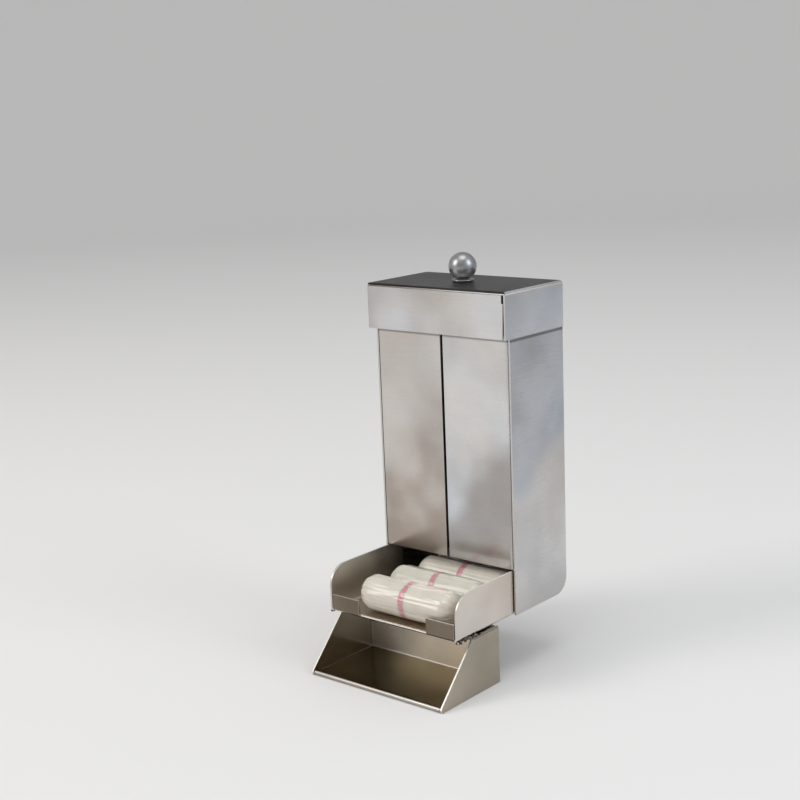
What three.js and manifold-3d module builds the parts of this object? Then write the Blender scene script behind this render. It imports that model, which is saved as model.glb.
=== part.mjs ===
// A wall-hung tampon dispenser folded from brushed stainless sheet: a storage column with a level slit,
// an open tray that the stock rolls into, a scoop below it, and a lift-off lid with a ball knob.
// Millimetres. X to the viewer's right, Y into the wall, Z up. The origin lies on the wall,
// midway between the two hanging screws.
import * as THREE from 'three';
import { mergeVertices } from 'three/addons/utils/BufferGeometryUtils.js';
import Module from 'manifold-3d';

const wasm = await Module();
wasm.setup();

// Sheet metal
const sheet = 0.8;
const fold_inside = 0.5;
const fold_outside = fold_inside + sheet;
const seam_gap = 0.3;
const overrun = 2;
const fold_steps = 4;

// Stock: wrapped tampons, each with a tear strip round its middle
const tampon_diameter = 15;
const tampon_length = 47;
const tampon_end_round = 6.2;
const tampon_end_dimple = 0.8;
const tear_strip_width = 3.8;
const tear_strip_thickness = 0.4;
const roll_gap = 0.3;
// the room behind the last one in the row, before the rear bend begins
const row_spare = 1.7;
// the space that each one leaves between its end and the tray's right wall, front one first
const stock = [
  { name: 'front', end_gap: 4.0 },
  { name: 'middle', end_gap: 2.4 },
  { name: 'rear', end_gap: 0.4 },
  { name: 'waiting', end_gap: 1.4 },
];

// Column and tray
const end_room = 14.7;
const column_height = 125.5;
const hang_drop = 18;
const slit_width = 1.2;
const panel_return = 9;
const feed_clearance = 2.1;
const rear_bend_outside = 7;
const rear_bend_steps = 10;
const tray_length = 36;
const lip_height = 7;
const notch_width = 33.8;
const tray_corner_round = 8;
const tray_corner_steps = 8;
const wall_lap = 8;

// Keyholes in the back, for round-head screws
const keyhole_spacing = 36;
const keyhole_drop = 8;
const keyhole_head_radius = 4.2;
const keyhole_slot_width = 4.4;

// Scoop under the tray
const scoop_length = 36;
const scoop_reach = 11.5;
const scoop_drop = 23.4;
const scoop_setback = 20;
const weld_flange = 6;
const hem_width = 2.7;
const hem_opening = 0.25;
const hem_height = 2 * sheet + hem_opening;

// Lid and knob
const lid_side_clearance = 0.3;
const lid_front_clearance = 3.2;
const lid_skirt = 18;
const lid_corner_seam = 0.4;
const relief_width = 0.9;
const relief_height = 3.2;
const tongue_drop = 8;
const tongue_width = 52;
const knob_radius = 5.5;
const knob_foot_radius = 3;
const collar_radius = 4.3;
const collar_thickness = 0.6;
const screw_radius = 1.5;
const screw_clearance = 0.35;
const screw_engagement = 4.5;
const screw_head_radius = 2.75;
const screw_head_height = 1.8;
const screw_recess_radius = 1.2;
const screw_recess_depth = 0.9;
const washer_radius = 3.3;
const washer_thickness = 0.5;
// rounded edges, as shares of a ring's thickness and of the screw head's height
const ring_edge_share = 0.25;
const head_edge_share = 0.33;
const recess_cone_share = 0.17;

// Round pieces: facets round them, and steps along a rounded profile
const around_stock = 32;
const around_knob = 32;
const profile_steps = 5;
const ball_steps = 12;

// Places that follow from the sizes above
const tampon_radius = tampon_diameter / 2;
const pitch = tampon_diameter + roll_gap;
// the column is as deep as the part of the row that the tray leaves to it
const row_length = sheet + roll_gap + stock.length * pitch + row_spare + rear_bend_outside;
const column_depth = row_length - tray_length;
const inner_half = (tampon_length + end_room) / 2;
const folded_half = inner_half + sheet;
const column_half = folded_half + seam_gap + sheet;
const column_top = hang_drop;
const underside = column_top - column_height;
const tray_floor = underside + sheet;
const panel_bottom = tray_floor + roll_gap + tampon_diameter + feed_clearance;
const wall_top = panel_bottom - seam_gap;
const panel_face = -column_depth;
const lip_face = panel_face - tray_length;
const scoop_front = lip_face - scoop_reach;
const scoop_back = scoop_front + scoop_length;
const scoop_top = underside - seam_gap;
const scoop_bottom = underside - scoop_drop;
const lid_half = column_half + lid_side_clearance + sheet;
const lid_front = panel_face - lid_front_clearance - sheet;
const lid_back = -sheet - seam_gap;
const lid_under = column_top + seam_gap;
const lid_top = lid_under + sheet;
const skirt_bottom = lid_top - lid_skirt;
const knob_y = (lid_front + lid_back) / 2;
const row_front = lip_face + sheet + roll_gap;

const finishes = {
  brushed: new THREE.MeshStandardMaterial({ color: 0xbdbab5, roughness: 0.38, metalness: 0.9 }),
  brushed_dark: new THREE.MeshStandardMaterial({ color: 0x8f8d88, roughness: 0.42, metalness: 0.9 }),
  satin_knob: new THREE.MeshStandardMaterial({ color: 0x86868a, roughness: 0.3, metalness: 0.95 }),
  plated: new THREE.MeshStandardMaterial({ color: 0xb0b0b2, roughness: 0.35, metalness: 0.9 }),
  wrapper: new THREE.MeshStandardMaterial({ color: 0xe6dfcd, roughness: 0.4, metalness: 0 }),
  tear_strip: new THREE.MeshStandardMaterial({ color: 0xd9707f, roughness: 0.4, metalness: 0 }),
};

// Solids for cutting and joining
function to_solid(geometry) {
  const bare = geometry.clone();
  bare.deleteAttribute('normal');
  bare.deleteAttribute('uv');
  const merged = mergeVertices(bare);
  return new wasm.Manifold(new wasm.Mesh({
    numProp: 3,
    vertProperties: new Float32Array(merged.attributes.position.array),
    triVerts: new Uint32Array(merged.index.array),
  }));
}

function to_geometry(solid) {
  const mesh = solid.getMesh();
  const positions = new Float32Array(mesh.vertProperties);
  const geometry = new THREE.BufferGeometry();
  geometry.setAttribute('position', new THREE.BufferAttribute(positions, mesh.numProp));
  geometry.setIndex(new THREE.BufferAttribute(new Uint32Array(mesh.triVerts), 1));
  geometry.computeVertexNormals();
  return geometry;
}

function cut(solid, ...tools) {
  return tools.reduce((rest, tool) => rest.subtract(tool), solid);
}

function box([x0, y0, z0], [x1, y1, z1]) {
  const block = new THREE.BoxGeometry(x1 - x0, y1 - y0, z1 - z0);
  block.translate((x0 + x1) / 2, (y0 + y1) / 2, (z0 + z1) / 2);
  return to_solid(block);
}

function extrude(points, depth) {
  return new THREE.ExtrudeGeometry(new THREE.Shape(points), { depth, bevelEnabled: false, curveSegments: 1 });
}

// An outline of (y, z) points, from one x to another
function extrude_x(points, x0, x1) {
  const turned = new THREE.Matrix4().makeBasis(
    new THREE.Vector3(0, 1, 0), new THREE.Vector3(0, 0, 1), new THREE.Vector3(1, 0, 0));
  return to_solid(extrude(points, x1 - x0).applyMatrix4(turned).translate(x0, 0, 0));
}

// An outline of (x, z) points, from one y to another
function extrude_y(points, y0, y1) {
  return to_solid(extrude(points, y1 - y0).rotateX(Math.PI / 2).translate(0, y1, 0));
}

// An outline of (x, y) points, from one z to another
function extrude_z(points, z0, z1) {
  return to_solid(extrude(points, z1 - z0).translate(0, 0, z0));
}

// A disc or tube standing on Z: a profile of (radius, height) points turned round it
function turned(profile, around) {
  const points = profile.map(([r, h]) => new THREE.Vector2(r, h));
  return new THREE.LatheGeometry(points, around).rotateX(Math.PI / 2);
}

function arc(centre, radius, from, to, steps) {
  return Array.from({ length: steps + 1 }, (_, i) => {
    const angle = from + (to - from) * i / steps;
    return new THREE.Vector2(centre.x + radius * Math.cos(angle), centre.y + radius * Math.sin(angle));
  });
}

// A path with its corners rounded. Every corner turns the same way, to the right.
function rounded_path(corners, radii, steps) {
  const path = [corners[0]];
  for (let i = 1; i < corners.length - 1; i++) {
    const before = corners[i].clone().sub(corners[i - 1]).normalize();
    const after = corners[i + 1].clone().sub(corners[i]).normalize();
    const turn = before.angleTo(after);
    const start = corners[i].clone().addScaledVector(before, -radii[i] * Math.tan(turn / 2));
    const inward = new THREE.Vector2(before.y, -before.x);
    const centre = start.clone().addScaledVector(inward, radii[i]);
    const from = Math.atan2(start.y - centre.y, start.x - centre.x);
    path.push(...arc(centre, radii[i], from, from - turn, steps[i]));
  }
  path.push(corners.at(-1));
  return path;
}

// The same path moved to its right by a distance
function offset_path(corners, distance) {
  return corners.map((corner, i) => {
    const before = i > 0 ? corner.clone().sub(corners[i - 1]).normalize() : null;
    const after = i < corners.length - 1 ? corners[i + 1].clone().sub(corner).normalize() : null;
    const first = before ?? after;
    const second = after ?? before;
    const side = new THREE.Vector2(first.y + second.y, -first.x - second.x);
    return corner.clone().addScaledVector(side, distance / (1 + first.dot(second)));
  });
}

// A strip of sheet seen on edge: the outer face follows the corners, each (a, b, outer radius, steps),
// and the inner face lies one sheet to the right of it
function folded(corners, thickness = sheet) {
  const outline = corners.map(([a, b]) => new THREE.Vector2(a, b));
  const radii = corners.map(([, , radius = fold_outside]) => radius);
  const steps = corners.map(([, , , count = fold_steps]) => count);
  const inner_radii = radii.map((radius) => radius - thickness);
  const outer = rounded_path(outline, radii, steps);
  const inner = rounded_path(offset_path(outline, thickness), inner_radii, steps);
  return [...outer, ...inner.reverse()];
}

// The filled outline that the outer face of such a strip encloses
function filled(corners) {
  const outline = corners.map(([a, b]) => new THREE.Vector2(a, b));
  return rounded_path(outline, corners.map(() => fold_outside), corners.map(() => fold_steps));
}

// Back, rear bend, floor and lip are one strip, and the tray's walls are folded up from its sides.
// The walls run back between the side plates, where they are welded.
function back_and_tray_sheet() {
  const strip = folded([
    [0, column_top], [0, underside, rear_bend_outside, rear_bend_steps],
    [lip_face, underside], [lip_face, underside + lip_height],
  ]);
  const lap_end = panel_face + wall_lap;
  const fold_line = folded_half - fold_outside;
  const side_cuts = [-1, 1].map((side) => box(
    [Math.min(side * fold_line, side * (folded_half + overrun)), lip_face - overrun, underside - overrun],
    [Math.max(side * fold_line, side * (folded_half + overrun)), lap_end, underside + lip_height + overrun]));
  const notch = box([-notch_width / 2, lip_face - overrun, tray_floor],
    [notch_width / 2, lip_face + sheet, underside + lip_height + overrun]);
  const trough = extrude_y(folded([
    [folded_half, wall_top], [folded_half, underside], [-folded_half, underside], [-folded_half, wall_top],
  ]), lip_face, lap_end);
  const round_centre = new THREE.Vector2(lip_face + tray_corner_round, wall_top - tray_corner_round);
  const wall_outline = extrude_x([
    new THREE.Vector2(lip_face, underside - overrun),
    new THREE.Vector2(lap_end, underside - overrun),
    new THREE.Vector2(lap_end, wall_top),
    ...arc(round_centre, tray_corner_round, Math.PI / 2, Math.PI, tray_corner_steps),
  ], -folded_half - overrun, folded_half + overrun);
  const between = box([-fold_line, lip_face - overrun, underside - overrun],
    [fold_line, lap_end + overrun, wall_top + overrun]);
  const walls = trough.intersect(wall_outline).subtract(between);
  const keyholes = [-1, 1].map((side) => keyhole(side * keyhole_spacing / 2));
  return cut(extrude_x(strip, -folded_half, folded_half), ...side_cuts, notch, ...keyholes).add(walls);
}

// A round entry for the screw's head, with a slot above it that ends at the level of the origin
function keyhole(x) {
  const half = keyhole_slot_width / 2;
  const meet = Math.asin(half / keyhole_head_radius);
  const entry = new THREE.Vector2(x, -keyhole_drop);
  const outline = [
    ...arc(entry, keyhole_head_radius, Math.PI / 2 + meet, Math.PI * 2.5 - meet, around_knob),
    ...arc(new THREE.Vector2(x, 0), half, 0, Math.PI, around_knob / 2),
  ];
  return extrude_y(outline, -sheet - overrun, overrun);
}

// Flat plates over the edges of the folded strips, rounded at the lower rear like the bend they cover
function side_plate(side) {
  const centre = new THREE.Vector2(-rear_bend_outside, underside + rear_bend_outside);
  const outline = [
    new THREE.Vector2(panel_face, column_top),
    new THREE.Vector2(panel_face, underside),
    ...arc(centre, rear_bend_outside, -Math.PI / 2, 0, rear_bend_steps),
    new THREE.Vector2(0, column_top),
  ];
  const inner = column_half - sheet;
  return side > 0 ? extrude_x(outline, inner, column_half) : extrude_x(outline, -column_half, -inner);
}

// Each front panel turns back along its side plate, and the two leave the level slit between them
function front_panel(side) {
  const corners = [
    [side * folded_half, panel_face + panel_return], [side * folded_half, panel_face],
    [side * slit_width / 2, panel_face],
  ];
  return extrude_z(folded(side > 0 ? corners : corners.reverse()), panel_bottom, column_top);
}

// Top weld flange, back, bottom plate and a hem folded back over the front edge
function scoop_sheet() {
  const strip = folded([
    [scoop_back - weld_flange, scoop_top], [scoop_back, scoop_top], [scoop_back, scoop_bottom],
    [scoop_front, scoop_bottom, hem_height / 2], [scoop_front, scoop_bottom + hem_height, hem_height / 2],
    [scoop_front + hem_width, scoop_bottom + hem_height],
  ]);
  return extrude_x(strip, -folded_half, folded_half);
}

// Slanted side plates of the scoop, with a weld flange turned in under the tray
function scoop_cheek(side) {
  const corners = [
    [side * (column_half - weld_flange), scoop_top], [side * column_half, scoop_top],
    [side * column_half, scoop_bottom],
  ];
  const flange_end = scoop_back - weld_flange - seam_gap;
  const plate = extrude_y(folded(side > 0 ? corners : corners.reverse()), scoop_front, scoop_back);
  const outline = extrude_x([
    new THREE.Vector2(scoop_front, scoop_bottom),
    new THREE.Vector2(scoop_back, scoop_bottom),
    new THREE.Vector2(scoop_back, scoop_top),
    new THREE.Vector2(scoop_front + scoop_setback, scoop_top),
    new THREE.Vector2(scoop_front, scoop_bottom + hem_height),
  ], -column_half - overrun, column_half + overrun);
  const inside = column_half - sheet;
  const behind = box([-inside, flange_end, scoop_bottom - overrun],
    [inside, scoop_back + overrun, scoop_top + overrun]);
  return plate.intersect(outline).subtract(behind);
}

// A folded box lid: top, a tongue inside the back, and three skirts. The front left corner is welded and
// ground round like a bend. On the right the front skirt ends just short of the side skirt, whose cut
// edge shows beside it, and that seam widens into a bend relief at the top.
function lid_cover() {
  const front_to_back = [
    [lid_front, skirt_bottom], [lid_front, lid_top], [lid_back, lid_top], [lid_back, lid_under - tongue_drop],
  ];
  const left_to_right = [
    [-lid_half, skirt_bottom], [-lid_half, lid_top], [lid_half, lid_top], [lid_half, skirt_bottom],
  ];
  const below = skirt_bottom - overrun;
  const envelope_x = extrude_x(filled([
    [lid_front, below], [lid_front, lid_top], [lid_back, lid_top], [lid_back, below],
  ]), -lid_half, lid_half);
  const envelope_y = extrude_y(filled([
    [-lid_half, below], [-lid_half, lid_top], [lid_half, lid_top], [lid_half, below],
  ]), lid_front, lid_back);
  const long_way = extrude_x(folded(front_to_back), -lid_half, lid_half).intersect(envelope_y);
  const cross_way = extrude_y(folded(left_to_right), lid_front, lid_back).intersect(envelope_x);
  const tongue_sides = [-1, 1].map((side) => box(
    [Math.min(side * tongue_width / 2, side * (lid_half - sheet)), lid_back - fold_outside, below],
    [Math.max(side * tongue_width / 2, side * (lid_half - sheet)), lid_back + overrun, lid_under]));
  const bend_start = lid_top - fold_outside;
  const seam_side = lid_half - sheet;
  const corner_cut = (width, z0) => box(
    [seam_side - width, lid_front - overrun, z0], [seam_side, lid_front + sheet, bend_start]);
  const seam = corner_cut(lid_corner_seam, below);
  const relief = corner_cut(relief_width, bend_start - relief_height);
  const screw_hole = to_solid(new THREE.CylinderGeometry(
    screw_radius + screw_clearance, screw_radius + screw_clearance, sheet + 2 * overrun, around_knob)
    .rotateX(Math.PI / 2).translate(0, knob_y, lid_under + sheet / 2));
  const ground_centre = new THREE.Vector2(fold_outside - lid_half, lid_front + fold_outside);
  const ground_corner = extrude_z([
    ...arc(ground_centre, fold_outside, Math.PI, Math.PI * 1.5, fold_steps),
    new THREE.Vector2(lid_half + overrun, lid_front),
    new THREE.Vector2(lid_half + overrun, lid_back + overrun),
    new THREE.Vector2(-lid_half, lid_back + overrun),
  ], below, lid_top + overrun);
  return cut(cut(long_way, ...tongue_sides).add(cross_way), seam, relief, screw_hole)
    .intersect(ground_corner);
}

// The ball is flattened where it stands on its collar, and bored for the screw
function lid_knob() {
  const foot_angle = Math.asin(knob_foot_radius / knob_radius);
  const bore = screw_radius + screw_clearance;
  const centre = new THREE.Vector2(0, knob_radius * Math.cos(foot_angle));
  const ball = arc(centre, knob_radius, foot_angle - Math.PI / 2, Math.PI / 2, ball_steps);
  return turned([
    [0, screw_engagement + screw_clearance], [bore, screw_engagement + screw_clearance],
    [bore, 0], ...ball.slice(0, -1).map((p) => [p.x, p.y]), [0, centre.y + knob_radius],
  ], around_knob);
}

function ring(outer, thickness) {
  const bore = screw_radius + screw_clearance;
  const edge = thickness * ring_edge_share;
  return turned([
    [bore, 0], [outer - edge, 0], [outer, edge], [outer, thickness - edge], [outer - edge, thickness],
    [bore, thickness], [bore, 0],
  ], around_knob);
}

// A pan-head screw, head down, with a round driver recess
function knob_screw(reach) {
  const edge = screw_head_height * head_edge_share;
  const recess_wall = screw_recess_depth - screw_head_height * recess_cone_share;
  const tip = screw_head_height + reach;
  return turned([
    [0, screw_recess_depth], [screw_recess_radius, recess_wall], [screw_recess_radius, 0],
    [screw_head_radius - edge, 0], [screw_head_radius, edge], [screw_head_radius, screw_head_height],
    [screw_radius, screw_head_height], [screw_radius, tip], [0, tip],
  ], around_knob);
}

// One wrapped tampon, lying along X: the film is drawn over rounded ends into a shallow dimple,
// and the tear strip sits in a groove round the middle
function tampon_profile() {
  const half = tampon_length / 2;
  const groove = tear_strip_width / 2 + roll_gap;
  const groove_radius = tampon_radius - tear_strip_thickness - roll_gap;
  const centre = new THREE.Vector2(tampon_radius - tampon_end_round, half - tampon_end_round);
  const end = [
    [0, half - tampon_end_dimple],
    ...arc(centre, tampon_end_round, Math.PI / 2, 0, profile_steps).map((p) => [p.x, p.y]),
    [tampon_radius, groove], [groove_radius, groove],
  ];
  return [...end.map(([r, h]) => [r, -h]), ...end.reverse()];
}

function along_x(geometry) {
  return geometry.rotateY(Math.PI / 2);
}

function tear_strip() {
  const half = tear_strip_width / 2;
  const inside = tampon_radius - tear_strip_thickness;
  return turned([
    [inside, -half], [tampon_radius, -half], [tampon_radius, half], [inside, half], [inside, -half],
  ], around_stock);
}

const dispenser = new THREE.Group();

function add_piece(group, name, shape, finish) {
  const geometry = shape.isBufferGeometry ? shape : to_geometry(shape);
  const mesh = new THREE.Mesh(geometry, finishes[finish]);
  mesh.name = name;
  group.add(mesh);
  return mesh;
}

add_piece(dispenser, 'back_and_tray_sheet', back_and_tray_sheet(), 'brushed');
add_piece(dispenser, 'left_side_plate', side_plate(-1), 'brushed');
add_piece(dispenser, 'right_side_plate', side_plate(1), 'brushed');
add_piece(dispenser, 'front_left_panel', front_panel(-1), 'brushed');
add_piece(dispenser, 'front_right_panel', front_panel(1), 'brushed');
add_piece(dispenser, 'scoop_sheet', scoop_sheet(), 'brushed_dark');
add_piece(dispenser, 'scoop_left_cheek', scoop_cheek(-1), 'brushed');
add_piece(dispenser, 'scoop_right_cheek', scoop_cheek(1), 'brushed');
add_piece(dispenser, 'lid_cover', lid_cover(), 'brushed');

// The knob's parts stack up through the lid: screw head and washer below, collar and ball above
const knob_parts = new THREE.Group();
knob_parts.position.set(0, knob_y, lid_top);
dispenser.add(knob_parts);
const collar_at = seam_gap;
const ball_at = collar_at + collar_thickness + seam_gap;
const washer_at = -sheet - seam_gap - washer_thickness;
const head_at = washer_at - seam_gap - screw_head_height;
const screw_reach = ball_at + screw_engagement - head_at - screw_head_height;
const collar = add_piece(knob_parts, 'knob_collar', ring(collar_radius, collar_thickness), 'satin_knob');
const ball = add_piece(knob_parts, 'lid_knob', lid_knob(), 'satin_knob');
const washer = add_piece(knob_parts, 'knob_washer', ring(washer_radius, washer_thickness), 'plated');
const screw = add_piece(knob_parts, 'knob_screw', knob_screw(screw_reach), 'plated');
collar.position.z = collar_at;
ball.position.z = ball_at;
washer.position.z = washer_at;
screw.position.z = head_at;

// The stock lies in one row on the tray's floor, from the lip back into the foot of the column
stock.forEach(({ name, end_gap }, place) => {
  const tampon = new THREE.Group();
  tampon.position.set(
    inner_half - end_gap - tampon_length / 2,
    row_front + tampon_radius + place * pitch,
    tray_floor + roll_gap + tampon_radius);
  dispenser.add(tampon);
  add_piece(tampon, `${name}_tampon`, along_x(turned(tampon_profile(), around_stock)), 'wrapper');
  add_piece(tampon, `${name}_tear_strip`, along_x(tear_strip()), 'tear_strip');
});

export default dispenser;
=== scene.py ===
import math

import bmesh
import bpy
from mathutils import Matrix, Vector


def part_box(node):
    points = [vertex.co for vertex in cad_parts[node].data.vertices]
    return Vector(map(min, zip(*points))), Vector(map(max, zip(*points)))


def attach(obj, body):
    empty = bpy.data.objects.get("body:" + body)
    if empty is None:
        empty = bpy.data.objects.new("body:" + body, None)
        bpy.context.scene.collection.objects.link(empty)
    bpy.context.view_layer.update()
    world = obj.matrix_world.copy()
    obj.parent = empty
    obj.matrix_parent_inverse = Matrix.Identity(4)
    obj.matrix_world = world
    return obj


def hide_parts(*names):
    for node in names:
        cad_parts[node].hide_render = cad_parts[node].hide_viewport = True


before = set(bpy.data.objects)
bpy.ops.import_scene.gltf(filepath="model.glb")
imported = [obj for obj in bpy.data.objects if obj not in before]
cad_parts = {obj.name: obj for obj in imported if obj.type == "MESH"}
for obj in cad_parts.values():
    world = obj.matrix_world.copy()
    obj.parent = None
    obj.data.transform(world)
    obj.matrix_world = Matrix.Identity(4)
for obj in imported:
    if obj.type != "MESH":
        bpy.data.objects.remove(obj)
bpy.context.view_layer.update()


# The camera stands at arm's length, to the right of the dispenser and a little
# above its lid, and looks down into the tray and scoop, as in the photograph.
picture_width = 800
sensor_width = 36
camera_turn = math.radians(39.87)
camera_pitch = math.radians(13.03)
camera_roll = math.radians(-2.2)
camera_place = Vector((0.3445, -0.4614, 0.0917))
lens_in_pixels = 1441
middle_in_pixels = (21, 25)

camera = bpy.data.objects.new("photo_camera", bpy.data.cameras.new("photo_camera"))
bpy.context.scene.collection.objects.link(camera)
camera.data.sensor_width = sensor_width
camera.data.lens = lens_in_pixels / picture_width * sensor_width
camera.data.shift_x = -middle_in_pixels[0] / picture_width
camera.data.shift_y = middle_in_pixels[1] / picture_width
camera.data.clip_start = 0.05
camera.data.clip_end = 50
away = Vector((
    math.sin(camera_turn) * math.cos(camera_pitch),
    -math.cos(camera_turn) * math.cos(camera_pitch),
    math.sin(camera_pitch)))
level = Vector((math.cos(camera_turn), math.sin(camera_turn), 0))
upward = away.cross(level)
right = math.cos(camera_roll) * level + math.sin(camera_roll) * upward
up = math.cos(camera_roll) * upward - math.sin(camera_roll) * level
camera.matrix_world = Matrix.Translation(camera_place) @ Matrix(
    (right, up, away)).transposed().to_4x4()
bpy.context.scene.camera = camera


# The dispenser stands on its scoop on a pale floor that turns up into a round
# backdrop, under wide soft lamps: warm from the front and cooler from the right.
floor_gap = 0.00004
floor_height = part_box("scoop_sheet")[0].z - floor_gap
floor_radius = 1.9
backdrop_bend = 1.1
backdrop_height = 0.5
backdrop_steps = 96
bend_steps = 16
world_level = 0.55
lamp_aim = Vector((0, -0.03, -0.05))


def add_node(tree, kind, sockets=None, **settings):
    """A node with its settings, its named or numbered inputs set or linked."""
    made = tree.nodes.new(kind)
    for name, value in settings.items():
        setattr(made, name, value)
    for name, value in (sockets or {}).items():
        if isinstance(value, bpy.types.NodeSocket):
            tree.links.new(value, made.inputs[name])
        else:
            made.inputs[name].default_value = value
    return made


def output_of(tree, kind, sockets=None, **settings):
    """The first output of a new node."""
    return add_node(tree, kind, sockets, **settings).outputs[0]


def new_piece(name, mesh):
    made = bpy.data.objects.new(name, mesh)
    bpy.context.scene.collection.objects.link(made)
    return made


def new_material(name, plain):
    """A material with its output and a shader, whose plain values are set on its sockets."""
    made = bpy.data.materials.new(name)
    made.use_nodes = True
    made.node_tree.nodes.clear()
    shader = add_node(made.node_tree, "ShaderNodeBsdfPrincipled", plain)
    add_node(made.node_tree, "ShaderNodeOutputMaterial", {"Surface": shader.outputs["BSDF"]})
    return made, made.node_tree, shader


def spin_profile(profile, steps, centre=(0, 0)):
    """A mesh turned round the upright axis through centre from (radius, height) pairs."""
    shape = bmesh.new()
    rings = []
    for radius, height in profile:
        if radius == 0:
            rings.append([shape.verts.new((centre[0], centre[1], height))])
            continue
        rings.append([
            shape.verts.new((
                centre[0] + radius * math.cos(2 * math.pi * step / steps),
                centre[1] + radius * math.sin(2 * math.pi * step / steps),
                height))
            for step in range(steps)])
    for lower, upper in zip(rings, rings[1:]):
        for step in range(steps):
            corners = [
                lower[step % len(lower)], lower[(step + 1) % len(lower)],
                upper[(step + 1) % len(upper)], upper[step % len(upper)]]
            kept = [v for i, v in enumerate(corners) if v not in corners[:i]]
            if len(kept) > 2:
                shape.faces.new(kept)
    for face in shape.faces:
        face.smooth = True
    mesh = bpy.data.meshes.new("turned")
    shape.to_mesh(mesh)
    shape.free()
    return mesh


floor_profile = [(0, floor_height), (floor_radius * 0.5, floor_height)]
for step in range(bend_steps + 1):
    angle = math.pi / 2 * step / bend_steps
    floor_profile.append((
        floor_radius + backdrop_bend * math.sin(angle),
        floor_height + backdrop_bend * (1 - math.cos(angle))))
floor_profile.append((
    floor_radius + backdrop_bend, floor_height + backdrop_bend + backdrop_height))
floor = new_piece("floor_and_backdrop", spin_profile(floor_profile, backdrop_steps))
floor.data.materials.append(new_material("matt_floor", {
    "Base Color": (0.82, 0.81, 0.80, 1), "Roughness": 0.75, "Specular IOR Level": 0.2})[0])

world = bpy.data.worlds.new("soft_room")
world.use_nodes = True
bpy.context.scene.world = world
world.node_tree.nodes.clear()
light = output_of(
    world.node_tree, "ShaderNodeBackground",
    {"Color": (0.97, 0.98, 1, 1), "Strength": world_level})
add_node(world.node_tree, "ShaderNodeOutputWorld", {"Surface": light})

# each lamp's place, width and height, power and colour
lamps = {
    "front_softbox": ((-0.80, -1.18, 0.8), (0.7, 0.9), 8.6, (1, 0.965, 0.92)),
    "right_softbox": ((1.15, 0.15, 0.6), (0.6, 0.8), 4.6, (0.80, 0.90, 1)),
    "high_softbox": ((0.1, -0.2, 1.35), (0.9, 0.9), 5.5, (1, 0.99, 0.97)),
}
for name, (place, size, power, colour) in lamps.items():
    lamp = bpy.data.lights.new(name, "AREA")
    lamp.shape = "RECTANGLE"
    lamp.size, lamp.size_y = size
    lamp.energy = power
    lamp.color = colour
    holder = bpy.data.objects.new(name, lamp)
    holder.location = place
    holder.rotation_euler = (lamp_aim - Vector(place)).to_track_quat("-Z", "Y").to_euler()
    bpy.context.scene.collection.objects.link(holder)


# Back and tray: one sheet of brushed stainless steel, sheared to shape, its
# keyholes and lip notch punched, then folded into back, floor, lip and walls.
# The inside of the left wall is painted brighter: painted light.
sheet_thickness = 0.0008
edge_rounding = 0.00011
cut_face_width = 1.05 * sheet_thickness
cut_end_length = 1.2 * sheet_thickness
inner_fold_width = 0.00026
sharp_fold = math.radians(45)
level_enough = math.radians(0.5)
merge_distance = 0.00001
squarely = 0.9
usual_low_range = (-0.036, -0.066)
even = (1, 1, 1, 1)
# the near-black tone of the painted shadow under the lid's foot
painted_shadow_tone = (0.10, 0.095, 0.09, 1)
edge_tone = (0.60, 0.58, 0.55, 1)
edge_roughness = 0.38
# inner folds are painted lighter: a painted highlight along each bend
fold_highlight_tone = (0.82, 0.79, 0.73, 1)
fold_roughness = 0.5


def mean_width(face):
    """The width of a long narrow face."""
    return 2 * face.calc_area() / face.calc_perimeter()


def is_sheared(face):
    """True where the face is a cut edge of the sheet: narrow, with square corners."""
    return mean_width(face) <= cut_face_width and all(
        edge.calc_face_angle(0) > sharp_fold or edge.calc_length() < cut_end_length
        for edge in face.edges)


def make_plain(piece):
    """Puts what the piece's modifiers make into its own plain mesh."""
    ready = bpy.data.meshes.new_from_object(
        piece.evaluated_get(bpy.context.evaluated_depsgraph_get()))
    piece.modifiers.clear()
    piece.data = ready
    ready.name = piece.name


def finished_solid(node, name, rounding=edge_rounding, dress=None):
    """The node's solid merged to clean faces, its cut edges marked, its corners broken."""
    shape = bmesh.new()
    shape.from_mesh(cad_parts[node].data)
    bmesh.ops.remove_doubles(shape, verts=shape.verts, dist=merge_distance)
    bmesh.ops.dissolve_limit(
        shape, angle_limit=level_enough, verts=shape.verts, edges=shape.edges)
    if dress:
        dress(shape)
    cut_mark = shape.faces.layers.float.new("cut_edge")
    fold_mark = shape.faces.layers.float.new("inner_fold")
    for face in shape.faces:
        cut = is_sheared(face)
        face[cut_mark] = float(cut)
        face[fold_mark] = float(mean_width(face) < inner_fold_width and not cut)
        face.smooth = True
    mesh = bpy.data.meshes.new(name)
    shape.to_mesh(mesh)
    shape.free()
    piece = new_piece(name, mesh)
    corner = piece.modifiers.new("broken corners", "BEVEL")
    corner.width = rounding
    corner.segments = 2
    corner.limit_method = "ANGLE"
    corner.angle_limit = sharp_fold
    corner.use_clamp_overlap = False
    corner.miter_outer = "MITER_ARC"
    facing = piece.modifiers.new("even shading", "WEIGHTED_NORMAL")
    facing.mode = "FACE_AREA"
    facing.weight = 100
    facing.keep_sharp = True
    make_plain(piece)
    return piece


def new_group(name, kind, inputs, outputs):
    """A node group. A named input has its usual value, or says what kind it takes."""
    group = bpy.data.node_groups.new(name, kind)
    for label, value in inputs.items():
        takes = "Float" if isinstance(value, float) else "Int"
        if isinstance(value, str):
            takes = value
        made = group.interface.new_socket(
            label, in_out="INPUT", socket_type="NodeSocket" + takes)
        if takes != value:
            made.default_value = value
    for label in outputs:
        group.interface.new_socket(
            label, in_out="OUTPUT",
            socket_type="NodeSocketGeometry" if label == "Geometry" else "NodeSocketFloat")
    given = group.nodes.new("NodeGroupInput")
    return group, given.outputs, group.nodes.new("NodeGroupOutput")


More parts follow.
